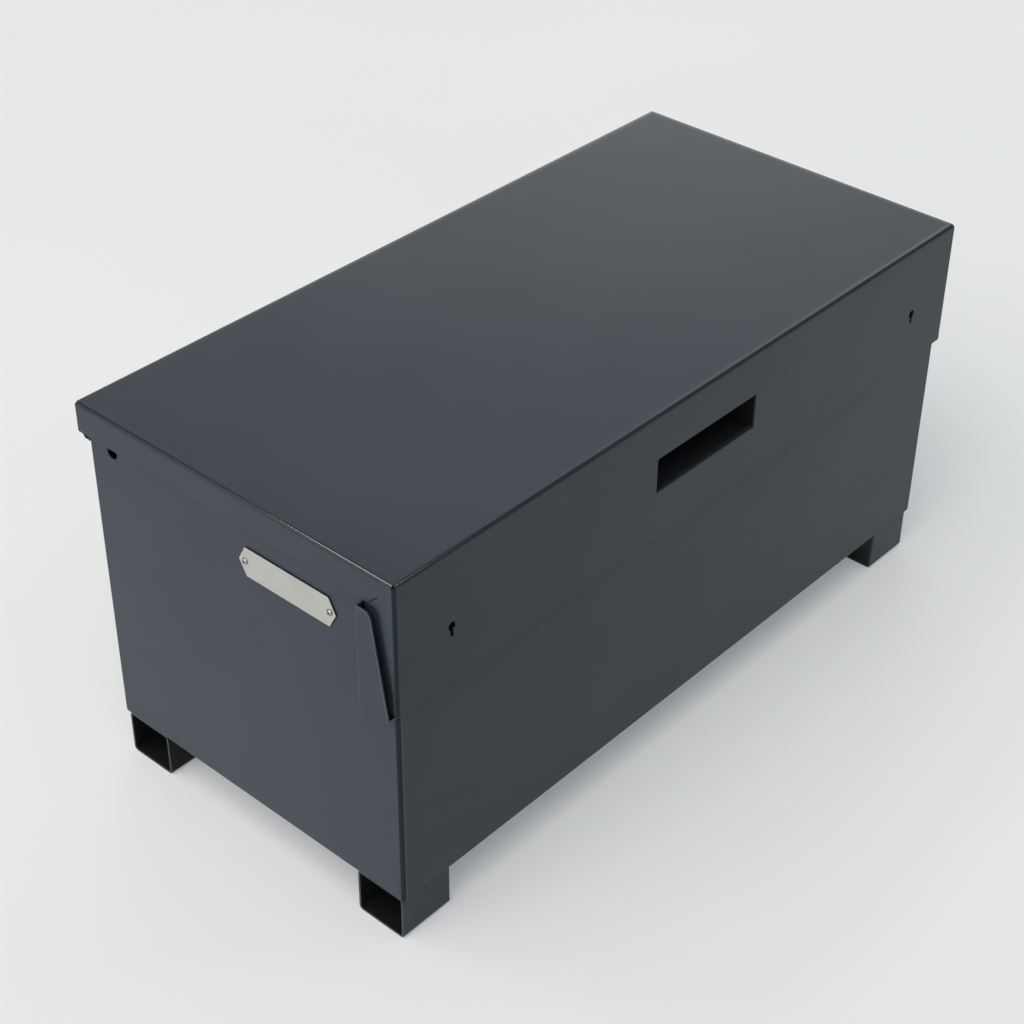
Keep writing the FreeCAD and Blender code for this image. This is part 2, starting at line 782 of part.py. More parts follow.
def lock_bolt_right():
    """Deadlock bolt, drawn back: solid head, thin tail with a talon for the key, and a stump."""
    half = bolt_head_height / 2
    head = block(bolt_heel, lock_forend, bolt_front, bolt_back, bolt_z - half, bolt_z + half)
    tail_half = bolt_tail_height / 2
    tail_back = bolt_front + bolt_tail_thickness
    tail = block(bolt_tail_end, bolt_heel, bolt_front, tail_back, bolt_z - tail_half,
                 bolt_z + tail_half)
    talon = block(key_x - bolt_talon_width / 2, key_x + bolt_talon_width / 2, bolt_front, tail_back,
                  bolt_z - tail_half, bolt_z - tail_half + bolt_talon_height)
    stump = cylinder(Vector(bolt_stump_x, tail_back, bolt_z), AXIS_Y, bolt_stump_radius,
                     lock_cavity_back - lever_back_gap - tail_back)
    return fuse([head, tail.cut(talon), stump])


def lock_lever(y_low):
    """One lever: an eye on the pivot, and a plate whose window leaves the stump its travel."""
    y_high = y_low + lever_thickness
    right = lever_pivot_x + lever_reach
    top = lever_pivot_z + lever_nose
    bottom = top - lever_height
    left = lever_pivot_x + lever_eye_radius
    outline = [((lever_pivot_x, top), 0), ((lever_pivot_x, lever_pivot_z - lever_eye_radius), 0),
               ((left, bottom), 0), ((right, bottom), lever_nose), ((right, top), lever_nose)]
    body = prism("xz", outline, y_low, y_high)
    eye = cylinder(Vector(lever_pivot_x, y_low, lever_pivot_z), AXIS_Y, lever_eye_radius,
                   lever_thickness)
    bore = cylinder(Vector(lever_pivot_x, y_low, lever_pivot_z), AXIS_Y,
                    lever_pivot_radius + lever_pivot_clearance, lever_thickness)
    stump_room = bolt_stump_radius + lever_window_gap
    window = block(bolt_stump_x - stump_room, bolt_stump_x + bolt_throw + stump_room, y_low, y_high,
                   bottom + lever_window_margin, top - lever_window_margin)
    return fuse([body, eye]).cut(bore).cut(window)


def lock_levers_right():
    """Pack of levers, from the case's back towards the bolt's tail."""
    pitch = lever_thickness + lever_gap
    first = lock_cavity_back - lever_back_gap - lever_thickness
    return Part.makeCompound([lock_lever(first - index * pitch) for index in range(lever_count)])


def strut_eye(centre, line):
    """Flat eye on a threaded shank; line points from the eye to the strut's body."""
    half = AXIS_X * (strut_eye_thickness / 2)
    ring = cylinder(centre - half, AXIS_X, strut_eye_radius, strut_eye_thickness)
    shank = cylinder(centre, line, strut_shank_radius, strut_eye_reach)
    bore = cylinder(centre - half, AXIS_X, strut_pin_radius + strut_pin_clearance,
                    strut_eye_thickness)
    slab = block(centre.x - strut_eye_thickness / 2, centre.x + strut_eye_thickness / 2,
                 centre.y - strut_span, centre.y + strut_span,
                 centre.z - strut_span, centre.z + strut_span)
    return fuse([ring, shank.common(slab)]).cut(bore)


def strut_lower_eye_right():
    return strut_eye(strut_foot, strut_line)


def strut_upper_eye_right():
    return strut_eye(strut_top, -strut_line)


def strut_rod_right():
    """Polished rod with the piston on its hidden end."""
    start = strut_foot + strut_line * strut_eye_reach
    length = strut_rod_showing + strut_piston_depth
    rod = cylinder(start, strut_line, strut_rod_radius, length)
    piston = cylinder(start + strut_line * (length - strut_piston_length), strut_line,
                      strut_piston_radius, strut_piston_length)
    return fuse([rod, piston])


def strut_tube_right():
    """Gas tube: closed at the top, and a guide for the rod at its lower end."""
    start = strut_foot + strut_line * (strut_eye_reach + strut_rod_showing)
    length = strut_span - 2 * strut_eye_reach - strut_rod_showing
    tube = cylinder(start, strut_line, strut_tube_radius, length)
    chamber = cylinder(start + strut_line * strut_guide_length, strut_line, strut_tube_bore,
                       length - strut_guide_length - strut_tube_end)
    way_in = cylinder(start, strut_line, strut_rod_radius + strut_rod_clearance, strut_guide_length)
    return tube.cut(chamber).cut(way_in)


def pin_with_head(x_wall, centre):
    """Shoulder pin from a plate at x_wall through an eye, headed on the inner side."""
    inner = centre.x - strut_eye_thickness / 2 - strut_side_gap
    shank = cylinder(Vector(inner, centre.y, centre.z), AXIS_X, strut_pin_radius, x_wall - inner)
    head = cylinder(Vector(inner, centre.y, centre.z), -AXIS_X, strut_pin_head_radius,
                    strut_pin_head_height)
    return fuse([shank, head])


def strut_plate_x():
    """Inner face of the plates that carry the struts, at both ends of a strut."""
    return strut_x + strut_eye_thickness / 2 + strut_side_gap


def strut_upper_pin_right():
    """Pin of the upper eye: it stops just short of the lid's bracket, so the strut stays free."""
    return pin_with_head(strut_plate_x() - strut_open_pivot_gap, strut_top)


def strut_wall_pin_right():
    return pin_with_head(strut_plate_x() + bracket_sheet, strut_foot)


def strut_lid_bracket_right():
    """Angle on the lid's underside whose leg hangs beside the strut's upper eye."""
    x_face = strut_plate_x()
    y_low = strut_top.y - bracket_width / 2
    line = [(x_face + bracket_sheet, strut_top.z - bracket_nose),
            (x_face + bracket_sheet, lid_underside),
            (x_face + bracket_sheet - bracket_shelf, lid_underside)]
    angle = folded("xz", line, bracket_sheet, bracket_bend, y_low, y_low + bracket_width)
    taper = bracket_width / 2 - bracket_nose
    leg = [((y_low, lid_underside), 0),
           ((y_low + taper, strut_top.z - bracket_nose), bracket_nose / 2),
           ((y_low + bracket_width - taper, strut_top.z - bracket_nose), bracket_nose / 2),
           ((y_low + bracket_width, lid_underside), 0)]
    outline = prism("yz", leg, x_face - bracket_shelf, x_face + bracket_sheet)
    shelf = block(x_face - bracket_shelf, x_face + bracket_sheet - bracket_bend, y_low,
                  y_low + bracket_width, lid_underside - bracket_sheet, lid_underside)
    return fuse([angle.common(outline), angle.common(shelf)])


def strut_wall_bracket_right():
    """Hat bracket on the end wall that holds the lower pin clear of the wall."""
    crown = strut_plate_x()
    half = wall_bracket_crown / 2
    seat = body_inside_end - bracket_sheet
    y_mid = strut_foot.y
    line = [(seat, y_mid + half + wall_bracket_foot), (seat, y_mid + half), (crown, y_mid + half),
            (crown, y_mid - half), (seat, y_mid - half), (seat, y_mid - half - wall_bracket_foot)]
    z_low = strut_foot.z - wall_bracket_height / 2
    hat = folded("xy", line, bracket_sheet, bracket_bend, z_low, z_low + wall_bracket_height)
    hole = cylinder(Vector(crown, y_mid, strut_foot.z), AXIS_X,
                    strut_pin_radius + strut_pin_clearance, bracket_sheet)
    return hat.cut(hole)


def corner_feet():
    """The four feet, named for their corners."""
    feet = {}
    for side, x_outer in (("left", -body_end), ("right", body_end)):
        for row, y_outer in (("front", body_front), ("rear", body_rear)):
            feet["foot_" + row + "_" + side] = foot(x_outer, y_outer)
    return feet


single_pieces = [floor_panel, front_wall, rear_wall, end_wall_left, end_wall_right,
                 hinge_body_leaf, hinge_lid_leaf, hinge_pin, lid_buffers,
                 nameplate_blank, nameplate_rivets, lid_top, lid_apron, pull_pocket, lock_screws]
paired_pieces = [pry_guard_right, lock_post_right, strike_plate_right, lid_rib_right,
                 lock_case_right, lock_cap_right, lock_bolt_right, lock_levers_right,
                 strut_rod_right, strut_lower_eye_right, strut_tube_right, strut_upper_eye_right,
                 strut_upper_pin_right, strut_wall_pin_right, strut_lid_bracket_right,
                 strut_wall_bracket_right]

pieces = corner_feet()
for make in single_pieces:
    pieces[make.__name__] = make()
for make in paired_pieces:
    right = make()
    pieces[make.__name__] = right
    pieces[make.__name__.replace("_right", "_left")] = mirrored(right)

os.makedirs("parts", exist_ok=True)
for name, shape in pieces.items():
    shape.exportStep("parts/" + name + ".step")
    print(name, "solids", len(shape.Solids), "valid", shape.isValid(), "volume", round(shape.Volume))
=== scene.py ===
"""Dresses the steel jobsite box: powder-coated sheet, blank nameplate, locks and gas struts."""

import json
import math
import random

import bmesh
import bpy
from mathutils import Matrix, Vector


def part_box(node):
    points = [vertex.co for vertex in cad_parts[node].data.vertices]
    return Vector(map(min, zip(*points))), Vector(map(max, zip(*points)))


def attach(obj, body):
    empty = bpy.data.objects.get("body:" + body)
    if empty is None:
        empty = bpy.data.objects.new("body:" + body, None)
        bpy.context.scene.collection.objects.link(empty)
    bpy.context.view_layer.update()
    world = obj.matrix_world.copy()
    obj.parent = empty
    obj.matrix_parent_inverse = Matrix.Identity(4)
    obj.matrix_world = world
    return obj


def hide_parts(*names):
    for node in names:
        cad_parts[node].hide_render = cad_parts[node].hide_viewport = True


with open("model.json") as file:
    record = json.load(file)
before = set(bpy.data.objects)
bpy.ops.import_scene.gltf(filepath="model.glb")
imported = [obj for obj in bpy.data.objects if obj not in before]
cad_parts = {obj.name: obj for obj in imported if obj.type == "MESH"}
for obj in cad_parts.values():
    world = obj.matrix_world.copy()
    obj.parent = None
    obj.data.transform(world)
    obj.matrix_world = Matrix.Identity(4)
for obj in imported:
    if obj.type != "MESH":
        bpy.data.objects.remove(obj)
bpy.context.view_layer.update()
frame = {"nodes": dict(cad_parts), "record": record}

MM = 0.001
ENDS = (("left", -1), ("right", 1))
ROWS = (("front", -1), ("rear", 1))
# A piece's materials in order: its own, the painted shade in its hollows, the painted highlight on
# its rounded edges
ON_FACE, IN_HOLLOW, ON_EDGE = 0, 1, 2
# Faces within this of one plane are one flat face
FLAT = math.radians(0.4)
# An edge that turns more than this shows as a crisp line
CRISP = math.radians(32)
# An edge that turns more than this was cut, so the coat rounds it
CUT = math.radians(50)
# Points nearer than this, in metres, are one point
SAME_SPOT = 1e-6
# A face whose normal has more than this along an axis looks along it
LOOKS_ALONG = 0.7

nodes = frame["nodes"]
record = frame["record"]
body_of = {node: body for body, names in record["behaviour"]["bodies"].items() for node in names}
slot_of_node = {entry["node"]: entry["material_slot"] for entry in record["subparts"]}
dice = random.Random(7)


def box_mm(node):
    """A node's lowest and highest corner, in millimetres."""
    low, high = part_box(node)
    return low / MM, high / MM


def spaced(first, last, count):
    """Evenly spaced values from first to last."""
    return [first + (last - first) * index / (count - 1) for index in range(count)]


# Finishes

def linear(hex_colour):
    """sRGB hex to the linear colour that a shader wants."""
    channels = [int(hex_colour[i:i + 2], 16) / 255 for i in (1, 3, 5)]
    return [c / 12.92 if c <= 0.04045 else ((c + 0.055) / 1.055) ** 2.4 for c in channels] + [1.0]


def add_node(material, kind, links=(), settings=(), traits=(), stops=()):
    """One shader node.

    links are (own socket, node, its socket), settings are (own socket, value), traits are
    (name, value), and stops are a colour ramp's (position, hex colour), in order.
    """
    tree = material.node_tree
    node = tree.nodes.new(kind)
    for trait, value in traits:
        setattr(node, trait, value)
    for socket, value in settings:
        node.inputs[socket].default_value = value
    for socket, source, output in links:
        tree.links.new(source.outputs[output], node.inputs[socket])
    for position, _ in stops[1:-1]:
        node.color_ramp.elements.new(position)
    if stops:
        for stop, (position, tone) in zip(node.color_ramp.elements, stops):
            stop.position, stop.color = position, linear(tone)
    return node


def node_of_type(material, node_type):
    return next(node for node in material.node_tree.nodes if node.type == node_type)


def new_material(name):
    material = bpy.data.materials.new(name)
    material.use_nodes = True
    material.node_tree.nodes.clear()
    return material


def object_place(material, stretch=(1, 1, 1)):
    """Object coordinates, stretched where a finish has a grain."""
    where = add_node(material, "ShaderNodeTexCoord")
    return add_node(material, "ShaderNodeMapping", [("Vector", where, "Object")],
                    [("Scale", stretch)])


def blobs_of(size_mm):
    """The noise scale whose blobs are about size_mm across, on coordinates in metres."""
    return 1000 / size_mm


def between(dark, light):
    """A colour ramp's stops for a soft mottle of two close tones."""
    return (0.35, dark), (0.65, light)


def surface(material, base, rough, normal, metallic=0.0, specular=0.5):
    """The shader and the output. Every plain value sits on the shader's own socket."""
    shader = add_node(material, "ShaderNodeBsdfPrincipled",
                      [("Base Color", base, 0), ("Roughness", rough, 0), ("Normal", normal, 0)],
                      [("Metallic", metallic), ("Specular IOR Level", specular)])
    add_node(material, "ShaderNodeOutputMaterial", [("Surface", shader, 0)])
    return material


# Powder coat: a faint cloud in its colour, dull and shiny patches, and the sheet's own long wave
CLOUD_MM = 240
DULL_PATCH_MM = 14
SHEET_WAVE_MM = 320
SHEET_WAVE_DEPTH_MM = 0.35


def powder_coat(name, dark, light, rough_low, rough_high, peel_mm=3.2, peel_depth_mm=0.06,
                specular=0.5):
    """Polyester powder coat on steel: an even colour with the fine orange peel of cured powder.

    Real orange peel is 1 to 2 mm across; it is drawn at about 3 mm so that it shows.
    """
    material = new_material(name)
    place = object_place(material)
    cloud = add_node(material, "ShaderNodeTexNoise", [("Vector", place, 0)],
                     [("Scale", blobs_of(CLOUD_MM)), ("Detail", 3.0)])
    peel = add_node(material, "ShaderNodeTexNoise", [("Vector", place, 0)],
                    [("Scale", blobs_of(peel_mm)), ("Detail", 2.0)])
    patches = add_node(material, "ShaderNodeTexNoise", [("Vector", place, 0)],
                       [("Scale", blobs_of(DULL_PATCH_MM)), ("Detail", 4.0), ("Roughness", 0.6)])
    sheet_wave = add_node(material, "ShaderNodeTexNoise", [("Vector", place, 0)],
                          [("Scale", blobs_of(SHEET_WAVE_MM)), ("Detail", 0.0)])
    base = add_node(material, "ShaderNodeValToRGB", [(0, cloud, 0)], stops=between(dark, light))
    rough = add_node(material, "ShaderNodeMapRange", [(0, patches, 0)],
                     [("To Min", rough_low), ("To Max", rough_high)])
    wave = add_node(material, "ShaderNodeBump", [("Height", sheet_wave, 0)],
                    [("Strength", 1.0), ("Distance", SHEET_WAVE_DEPTH_MM * MM)])
    bump = add_node(material, "ShaderNodeBump", [("Height", peel, 0), ("Normal", wave, 0)],
                    [("Strength", 1.0), ("Distance", peel_depth_mm * MM)])
    return surface(material, base, rough, bump, specular=specular)


def plain_metal(name, dark, light, rough_low, rough_high, grain=(1, 1, 1), grain_mm=2.0,
                depth_mm=0.004, mottle_mm=30):
    """Bare or plated metal with a soft mottle and a fine grain."""
    material = new_material(name)
    place = object_place(material)
    grained = object_place(material, grain)
    mottle = add_node(material, "ShaderNodeTexNoise", [("Vector", place, 0)],
                      [("Scale", blobs_of(mottle_mm)), ("Detail", 3.0)])
    scratch = add_node(material, "ShaderNodeTexNoise", [("Vector", grained, 0)],
                       [("Scale", blobs_of(grain_mm)), ("Detail", 3.0), ("Roughness", 0.7)])
    base = add_node(material, "ShaderNodeValToRGB", [(0, mottle, 0)], stops=between(dark, light))
    rough = add_node(material, "ShaderNodeMapRange", [(0, scratch, 0)],
                     [("To Min", rough_low), ("To Max", rough_high)])
    bump = add_node(material, "ShaderNodeBump", [("Height", scratch, 0)],
                    [("Strength", 1.0), ("Distance", depth_mm * MM)])
    return surface(material, base, rough, bump, metallic=1.0)


# On the lid's top, painted shade lies in a strip beside each bend, that fades out over these two
# distances from the lid's sides
STRIP_MM, STRIP_END_MM = 7, 12
STRIP_SHARE = 0.8
lid_reach = Vector(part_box("lid_top")[1])


def near_a_bend(material, where):
    """The painted shade's mask: 1 on a bend and on the lid's top just beside its bends; 0 on the
    flat.
    """
    facing = add_node(material, "ShaderNodeVectorMath", [(0, where, "Normal")],
                      traits=[("operation", "ABSOLUTE")])
    facing = add_node(material, "ShaderNodeSeparateXYZ", [(0, facing, 0)])
    # A flat sheet faces along one axis, so the largest part of its normal is 1, and less on a bend
    flat = add_node(material, "ShaderNodeMath", [(0, facing, 0), (1, facing, 1)],
                    traits=[("operation", "MAXIMUM")])
    flat = add_node(material, "ShaderNodeMath", [(0, flat, 0), (1, facing, 2)],
                    traits=[("operation", "MAXIMUM")])
    bent = add_node(material, "ShaderNodeMapRange", [(0, flat, 0)],
                    [("From Min", 0.965), ("From Max", 0.998), ("To Min", 1.0), ("To Max", 0.0)])
    spot = add_node(material, "ShaderNodeVectorMath", [(0, where, "Object")],
                    traits=[("operation", "ABSOLUTE")])
    inward = add_node(material, "ShaderNodeVectorMath", [(1, spot, 0)],
                      [(0, (lid_reach.x, lid_reach.y, 1))], [("operation", "SUBTRACT")])
    inward = add_node(material, "ShaderNodeSeparateXYZ", [(0, inward, 0)])
    inward = add_node(material, "ShaderNodeMath", [(0, inward, 0), (1, inward, 1)],
                      traits=[("operation", "MINIMUM")])
    beside = add_node(material, "ShaderNodeMapRange", [(0, inward, 0)],
                      [("From Min", STRIP_MM * MM), ("From Max", STRIP_END_MM * MM),
                       ("To Min", STRIP_SHARE), ("To Max", 0.0)])
    level = add_node(material, "ShaderNodeMapRange", [(0, facing, 2)],
                     [("From Min", 0.93), ("From Max", 0.96)])
    beside = add_node(material, "ShaderNodeMath", [(0, beside, 0), (1, level, 0)],
                      traits=[("operation", "MULTIPLY")])
    return add_node(material, "ShaderNodeMath", [(0, bent, 0), (1, beside, 0)],
                    traits=[("operation", "MAXIMUM")])


RUBBED_ROUGHNESS = 0.13
RUBBED_SPECULAR = 0.65


def sheet_coat(name, dark, light, bend_shade_tone, rough_low, rough_high, specular):
    """The powder coat on a folded sheet.

    It is drawn darker over each bend as painted shade, and smoother where a bend faces up, which
    hands and loads rub.
    """
    material = powder_coat(name, dark, light, rough_low, rough_high, specular=specular)
    shader = node_of_type(material, "BSDF_PRINCIPLED")
    where = add_node(material, "ShaderNodeTexCoord")
    bend = near_a_bend(material, where)
    base = shader.inputs["Base Color"].links[0].from_node
    rough = shader.inputs["Roughness"].links[0].from_node
    # A colour Mix node has its two colours on sockets 6 and 7, and gives the mix on its socket 2
    tone = add_node(material, "ShaderNodeMix", [(0, bend, 0), (6, base, 0)], [(7, linear(bend_shade_tone))],
                    [("data_type", "RGBA")])
    upward = add_node(material, "ShaderNodeSeparateXYZ", [(0, where, "Normal")])
    upward = add_node(material, "ShaderNodeMapRange", [(0, upward, 2)],
                      [("From Min", 0.2), ("From Max", 0.5)])
    rubbed_and_highlit = add_node(material, "ShaderNodeMath", [(0, bend, 0), (1, upward, 0)],
                      traits=[("operation", "MULTIPLY")])
    gloss = add_node(material, "ShaderNodeMapRange", [(0, rubbed_and_highlit, 0), ("To Min", rough, 0)],
                     [("To Max", RUBBED_ROUGHNESS)])
    glint = add_node(material, "ShaderNodeMapRange", [(0, rubbed_and_highlit, 0)],
                     [("To Min", specular), ("To Max", RUBBED_SPECULAR)])
    tree = material.node_tree
    tree.links.new(tone.outputs[2], shader.inputs["Base Color"])
    tree.links.new(gloss.outputs[0], shader.inputs["Roughness"])
    tree.links.new(glint.outputs[0], shader.inputs["Specular IOR Level"])
    return material


# Dark slate polyester powder coat: blue-black grey with a broad, weak sheen.
SLATE, SLATE_LIGHT = "#343b42", "#373e45"
SLATE_ROUGHNESS = (0.22, 0.29)
slate_coat = powder_coat("slate_powder_coat", SLATE, SLATE_LIGHT, *SLATE_ROUGHNESS, specular=0.12)
# The same coat on the folded sheets, drawn darker as painted shade over every bend and in a strip
# beside the lid top's bends: every bend shows as a crisp dark line with a glint in it.
bend_shaded_coat = sheet_coat("slate_powder_coat_with_painted_bend_shade", SLATE, SLATE_LIGHT, "#1c2126",
                         *SLATE_ROUGHNESS, specular=0.12)
# Painted shade inside folds and bores and other places in shade: the same coat drawn thinner,
# flatter, near black.
painted_shade_coat = powder_coat("slate_powder_coat_painted_shade", "#0b0d0f", "#0f1113", 0.55, 0.68,
                        peel_depth_mm=0.03, specular=0.2)
# The same coat over weld metal: it pools between the ripples, so the sheen is broken up.
weld_coat = powder_coat("slate_powder_coat_on_weld", "#2a3138", "#333a41", 0.28, 0.46,
                        peel_mm=1.6, peel_depth_mm=0.05, specular=0.3)
# The same coat on a cut edge, drawn pale as a painted highlight: a smooth line that outlines each
# sheet.
edge_highlight_coat = powder_coat("slate_powder_coat_painted_edge_highlight", "#59626a", "#626b73", 0.18, 0.24,
                        specular=0.6)
# Anodised aluminium plate with a fine lengthwise brush: an even, soft silver grey.
plate_metal = plain_metal("satin_anodised_aluminium", "#c2c1bc", "#c9c8c3", 0.34, 0.44,
                          grain=(1, 0.06, 1), grain_mm=0.9, mottle_mm=60)
# The plate's rounded edge, where the shears bared the metal: a bright rim, drawn lighter than the
# plate as a painted highlight.
bared_edge_highlight = plain_metal("bared_aluminium_edge_painted_highlight", "#dededa", "#e8e8e4", 0.30, 0.38)
# Plain steel dome rivets, lightly polished by the setting tool: a clear glint on a grey dome.
rivet_metal = plain_metal("set_steel_rivet", "#8b8c8e", "#a2a3a4", 0.18, 0.28)
# Bright zinc plating: pale, faintly clouded.
zinc = plain_metal("bright_zinc_plate", "#a9acb0", "#bfc2c4", 0.26, 0.42, mottle_mm=12)
# Hardened steel, ground flat: fine lines along the bolt's travel.
ground_steel = plain_metal("ground_hardened_steel", "#8d8f92", "#a2a4a7", 0.25, 0.40,
                           grain=(0.05, 1, 1), grain_mm=0.7)
# Hard chrome on the strut's rod: mirror bright with faint wiping marks.
hard_chrome = plain_metal("hard_chrome", "#c9cbce", "#d4d6d8", 0.05, 0.12, depth_mm=0.001)
# Black stoving enamel on the strut's tube: smooth and glossy.
black_enamel = powder_coat("black_stoving_enamel", "#0c0d0e", "#111214", 0.22, 0.30,
                           peel_mm=6.0, peel_depth_mm=0.01)
# Moulded rubber: matt black with a faint bloom.
rubber = powder_coat("moulded_rubber", "#151515", "#1e1e1d", 0.75, 0.88, peel_mm=1.5,
                     peel_depth_mm=0.02)

finish_of_slot = {"graphite_paint": slate_coat, "nameplate_silver": plate_metal,
                  "rivet_steel": rivet_metal, "strut_black": black_enamel,
                  "strut_rod_chrome": hard_chrome, "zinc_plated_steel": zinc,
                  "hardened_steel": ground_steel, "buffer_rubber": rubber}


# Ways to make a piece

def finished(name, bm, body, material):
    """Turns a bmesh into a piece that rides on a body, with smooth faces and crisp edges."""
    for face in bm.faces:
        face.smooth = True
    for edge in bm.edges:
        edge.smooth = not (len(edge.link_faces) == 2 and edge.calc_face_angle() > CRISP)
    mesh = bpy.data.meshes.new(name)
    bm.to_mesh(mesh)
    bm.free()
    mesh.materials.append(material)
    piece = bpy.data.objects.new(name, mesh)
    bpy.context.scene.collection.objects.link(piece)
    steady = piece.modifiers.new("flat faces stay flat", "WEIGHTED_NORMAL")
    steady.keep_sharp = True
    steady.weight = 100
    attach(piece, body)
    return piece


def softened(node, round_mm, hollow_along=None, hollow=False, rubbed_and_highlit=False):
    """A copy of a sheet or block with its cut edges rounded, as coated edges are.

    With hollow, the faces that look in at the piece's middle get the painted shade; hollow_along
    is the axis that the hollow runs along, if it is open at its ends. With rubbed, the rounded
    edges get the pale coat drawn as a painted highlight.
    """
    bm = bmesh.new()
    bm.from_mesh(nodes[node].data)
    bmesh.ops.remove_doubles(bm, verts=bm.verts, dist=SAME_SPOT)
    bmesh.ops.dissolve_limit(bm, angle_limit=FLAT, verts=bm.verts, edges=bm.edges,
                             use_dissolve_boundaries=False)
    cut_edges = [edge for edge in bm.edges
                 if len(edge.link_faces) == 2 and edge.calc_face_angle() > CUT]
    rounded = bmesh.ops.bevel(bm, geom=cut_edges, offset=round_mm * MM, offset_type="OFFSET",
                              segments=2, profile=0.5, affect="EDGES", clamp_overlap=True,
                              material=-1)["faces"]
    for face in rounded:
        face.material_index = ON_EDGE if rubbed_and_highlit else ON_FACE
    bmesh.ops.triangulate(bm, faces=[face for face in bm.faces if len(face.verts) > 4])
    if hollow:
        bm.normal_update()
        low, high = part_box(node)
        middle = (low + high) / 2
        for face in (face for face in bm.faces if face.material_index == ON_FACE):
            reach = face.calc_center_median() - middle
            runs_past = False
            if hollow_along is not None:
                reach[hollow_along] = 0
                runs_past = abs(face.normal[hollow_along]) > LOOKS_ALONG
            if face.normal.dot(reach) < 0 and not runs_past:
                face.material_index = IN_HOLLOW
    slot_name = slot_of_node[node]
    piece = finished(node + "_finish", bm, body_of[node], finish_of_slot[slot_name])
    if hollow or rubbed_and_highlit:
        piece.data.materials.append(painted_shade_coat)
    if rubbed_and_highlit:
        piece.data.materials.append(edge_highlight_coat)
    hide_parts(node)
    return piece


def turned(name, body, start, end, profile, material, steps=40):
    """A piece turned on a lathe.

    profile lists (distance from start towards end, radius), in millimetres.
    """
    start, end = Vector(start) * MM, Vector(end) * MM
    along = (end - start).normalized()
    aside = along.orthogonal().normalized()
    bm = bmesh.new()
    spots = [bm.verts.new(start + along * (distance * MM) + aside * (radius * MM))
             for distance, radius in profile]
    line = [bm.edges.new(pair) for pair in zip(spots, spots[1:])]
    bmesh.ops.spin(bm, geom=spots + line, cent=start, axis=along, angle=2 * math.pi, steps=steps,
                   use_merge=True, use_duplicate=False)
    bmesh.ops.remove_doubles(bm, verts=bm.verts, dist=SAME_SPOT)
    bmesh.ops.recalc_face_normals(bm, faces=bm.faces)
    return finished(name, bm, body, material)


# Weld metal freezes in ripples this far apart, each a little off the line and off its size
RIPPLE_PITCH_MM = 2.4
RIPPLE_STRAY_MM = 0.2
RIPPLE_SIZES = (0.9, 1.08)
RIPPLE_SQUASH = 0.8


def weld_stitches(name, body, runs, size_mm):
    """Runs of weld: overlapping ripples of metal under the coat, each from a start to an end."""
    bm = bmesh.new()
    for start, end in runs:
        start, end = Vector(start), Vector(end)
        count = max(2, round((end - start).length / RIPPLE_PITCH_MM))
        along = (end - start).to_track_quat("X", "Z").to_matrix().to_4x4()
        for index in range(count + 1):
            wobble = Vector([dice.uniform(-RIPPLE_STRAY_MM, RIPPLE_STRAY_MM) for _ in range(3)])
            radius = size_mm * dice.uniform(*RIPPLE_SIZES)
            centre = (start.lerp(end, index / count) + wobble) * MM
            place = Matrix.Translation(centre) @ along @ Matrix.Diagonal((RIPPLE_SQUASH, 1, 1, 1))
            bmesh.ops.create_icosphere(bm, subdivisions=2, radius=radius * MM, matrix=place)
    return finished(name, bm, body, weld_coat)


SPOT_WELD_FLATNESS = 0.12


def spot_welds(name, body, spots, facing, radius_mm=3.0):
    """The low round marks that a spot welder leaves, seen through the coat."""
    bm = bmesh.new()
    turn = Vector(facing).to_track_quat("Z", "Y").to_matrix().to_4x4()
    for spot in spots:
        place = (Matrix.Translation(Vector(spot) * MM) @ turn
                 @ Matrix.Diagonal((1, 1, SPOT_WELD_FLATNESS, 1)))
        bmesh.ops.create_uvsphere(bm, u_segments=16, v_segments=8, radius=radius_mm * MM,
                                  matrix=place)
    return finished(name, bm, body, slate_coat)


# Every node that keeps its own shape gets its finish
for node in nodes:
    nodes[node].data.materials[0] = finish_of_slot[slot_of_node[node]]

# Sheets and plates: the coat rounds their cut edges, by these radii in millimetres
SHEET_EDGE_MM = 0.45
SMALL_EDGE_MM = 0.35
FOOT_EDGE_MM = 0.8
GUARD_EDGE_MM = 0.5
NAMEPLATE_EDGE_MM = 0.6
# The six sheets get painted shade over their bends and a pale painted highlight on their cut edges
for node in ("lid_top", "lid_apron", "front_wall", "rear_wall", "end_wall_left", "end_wall_right"):
    softened(node, SHEET_EDGE_MM, rubbed_and_highlit=True).data.materials[ON_FACE] = bend_shaded_coat
softened("floor_panel", SMALL_EDGE_MM)
for kind in ("lock_post", "strike_plate", "lid_rib", "strut_lid_bracket", "strut_wall_bracket",
             "lock_bolt", "strut_lower_eye", "strut_upper_eye", "strut_wall_pin",
             "strut_upper_pin"):
    for end, _ in ENDS:
        softened(kind + "_" + end, SMALL_EDGE_MM)

# The nameplate: its rounded edge is bare metal, drawn bright as a painted highlight, and its thin
# sides, which sit in their own shadow, get the painted shade
plate = softened("nameplate_blank", NAMEPLATE_EDGE_MM, rubbed_and_highlit=True)
plate.data.materials[ON_EDGE] = bared_edge_highlight
for face in plate.data.polygons:
    if abs(face.normal.x) < 0.5:
        face.material_index = IN_HOLLOW

# The feet: painted shade, near black, inside their sections and on the sides that look in under
# the body
for end, _ in ENDS:
    for row, facing in ROWS:
        foot = softened("foot_" + row + "_" + end, FOOT_EDGE_MM, hollow_along=0, hollow=True)
        for face in foot.data.polygons:
            if face.normal.y * facing < -LOOKS_ALONG:
                face.material_index = IN_HOLLOW
    # The pry guards: painted shade inside their pockets, and a pale painted highlight on their
    # rounded edges
    softened("pry_guard_" + end, GUARD_EDGE_MM, hollow=True, rubbed_and_highlit=True)

